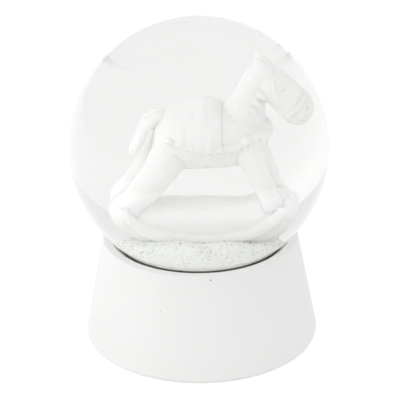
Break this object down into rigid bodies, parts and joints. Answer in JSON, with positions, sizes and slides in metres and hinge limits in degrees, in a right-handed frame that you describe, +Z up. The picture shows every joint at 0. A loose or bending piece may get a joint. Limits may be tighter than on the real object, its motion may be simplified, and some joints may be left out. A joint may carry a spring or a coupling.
{
  "type": "snow globe",
  "caption": "Musical water globe: clear liquid-filled ball with a white rocking horse, on a white tapered round base with a wind-up movement and a key underneath.",
  "frame": {"origin": "centre of the ring the base stands on, on the table plane under the ball's axis", "axes": "+Z up along the ball's and base's common axis; +X the way the horse faces; -Y the side it is looked at from"},
  "size_m": [0.11, 0.11, 0.1411],
  "materials": {
    "glass": "clear blown glass, polished",
    "liquid": "clear liquid, water with glycol",
    "cast_white": "white cast resin, matt lacquer",
    "glazed_white": "white cast resin, gloss enamel",
    "snow": "white snow texture with glitter",
    "seal": "dark sealing compound, satin",
    "plug": "off-white moulded rubber",
    "felt": "white felt",
    "board": "white moulded plastic plate, fine texture",
    "steel": "zinc-plated steel",
    "spring_steel": "blued spring steel",
    "brass": "brushed brass",
    "white_plastic": "white acetal"
  },
  "bodies": {
    "globe_and_base": {"base_shell": "cast_white", "felt_ring": "felt", "bottom_plate": "board", "cover_screw_1": "steel", "cover_screw_2": "steel", "cover_screw_3": "steel", "movement_screw_1": "steel", "movement_screw_2": "steel", "movement_screw_3": "steel", "glass_globe": "glass", "globe_seal": "seal", "rubber_plug": "plug", "snow_mound": "snow", "settled_flakes": "snow", "rocker": "glazed_white", "rocking_horse": "glazed_white", "water_fill": "liquid", "bedplate": "brass", "spring_housing": "brass", "mainspring": "spring_steel", "bearing_left": "brass", "bearing_right": "brass", "comb": "spring_steel", "comb_block": "steel", "comb_screw_1": "steel", "comb_screw_2": "steel", "governor_bracket": "steel"},
    "winding_train": {"winding_arbor": "steel", "crown_wheel": "white_plastic", "winding_key": "steel"},
    "cylinder_train": {"cylinder_pinion": "white_plastic", "cylinder_axle": "steel", "pinned_cylinder": "brass", "cylinder_gear": "steel"},
    "governor_wheel_train": {"governor_wheel": "brass"},
    "governor_fan_train": {"governor_worm": "steel", "governor_fan": "white_plastic"}
  },
  "joints": [
    {"name": "key_turn", "type": "hinge", "parent": "globe_and_base", "child": "winding_train", "pos_m": [-0.012, 0.003, 0.006], "axis": [0, 0, 1], "range_deg": [0, 1530]},
    {"name": "cylinder_turn", "type": "hinge", "parent": "globe_and_base", "child": "cylinder_train", "pos_m": [0.0122, 0.003, 0.02385], "axis": [1, 0, 0], "continuous": true},
    {"name": "governor_wheel_turn", "type": "hinge", "parent": "globe_and_base", "child": "governor_wheel_train", "pos_m": [0.0231, 0.01217, 0.01985], "axis": [1, 0, 0], "continuous": true},
    {"name": "governor_fan_turn", "type": "hinge", "parent": "globe_and_base", "child": "governor_fan_train", "pos_m": [0.0239, 0.01757, 0.022], "axis": [0, 0, 1], "continuous": true}
  ],
  "couplings": [
    {"joint": "cylinder_turn", "follows": "key_turn", "ratio": 2.5},
    {"joint": "governor_wheel_turn", "follows": "key_turn", "ratio": -10},
    {"joint": "governor_fan_turn", "follows": "key_turn", "ratio": 160}
  ]
}
